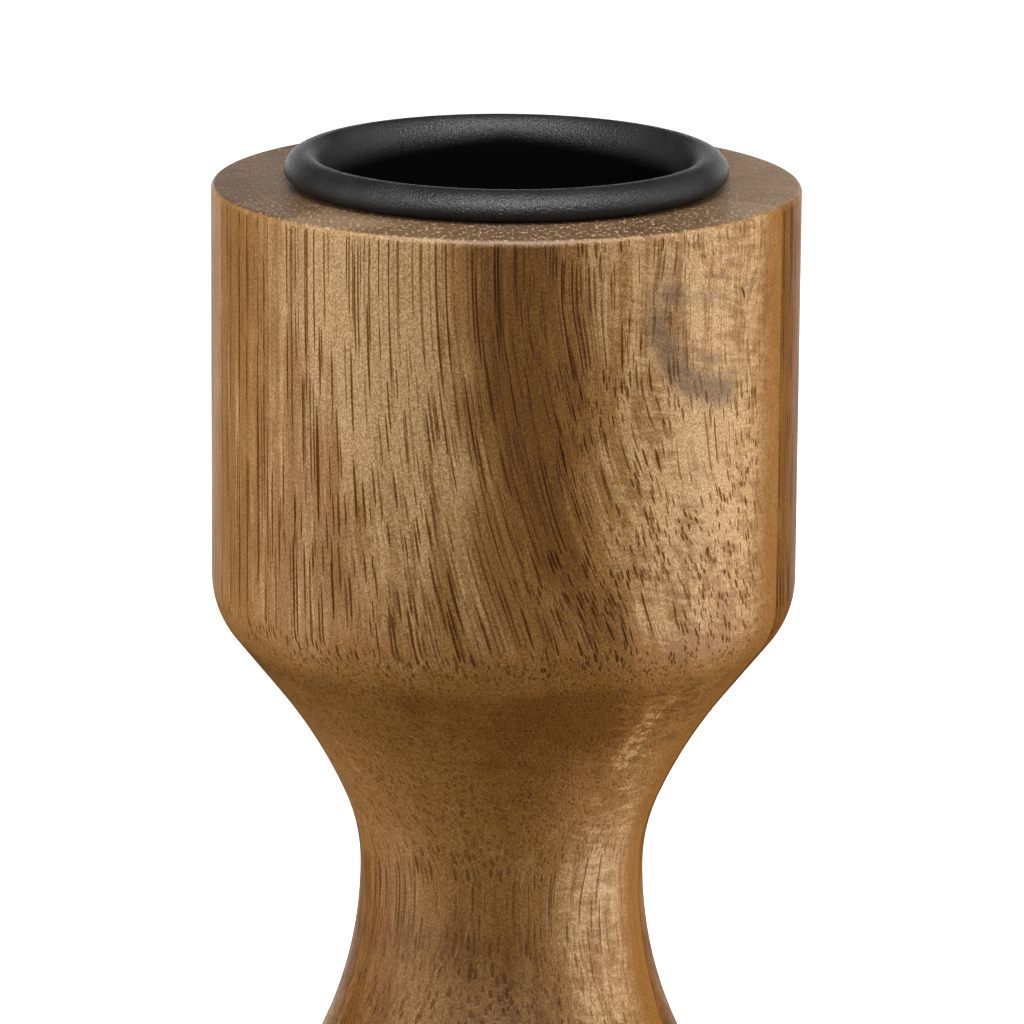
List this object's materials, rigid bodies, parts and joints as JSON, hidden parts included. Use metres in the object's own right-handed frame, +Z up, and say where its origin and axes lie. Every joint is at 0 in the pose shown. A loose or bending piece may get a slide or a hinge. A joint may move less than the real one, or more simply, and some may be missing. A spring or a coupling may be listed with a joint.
{
  "type": "turned taper candle stand",
  "caption": "Turned wooden stand with a drum head, narrow waist and flared foot; a black metal cup with a rolled rim holds one upright candle or a pen.",
  "frame": {"origin": "on the turning axis, at the underside of the felt feet", "axes": "+Z up along the turning axis, -Y towards the viewer, +X to the viewer's right"},
  "size_m": [0.06, 0.06, 0.1023],
  "materials": {
    "wood": "satin oiled medium-brown hardwood with fine dark pores",
    "black_metal": "smooth satin black coating",
    "felt": "dense brown felt"
  },
  "bodies": {
    "stand": {"front_stave": "wood", "rear_stave": "wood", "front_foot_stave": "wood", "rear_foot_stave": "wood", "felt_foot_1": "felt", "felt_foot_2": "felt", "felt_foot_3": "felt"},
    "cup": {"candle_cup": "black_metal"}
  },
  "joints": [
    {"name": "cup_lift", "type": "slide", "parent": "stand", "child": "cup", "axis": [0, 0, 1], "range_m": [0, 0.03]}
  ]
}
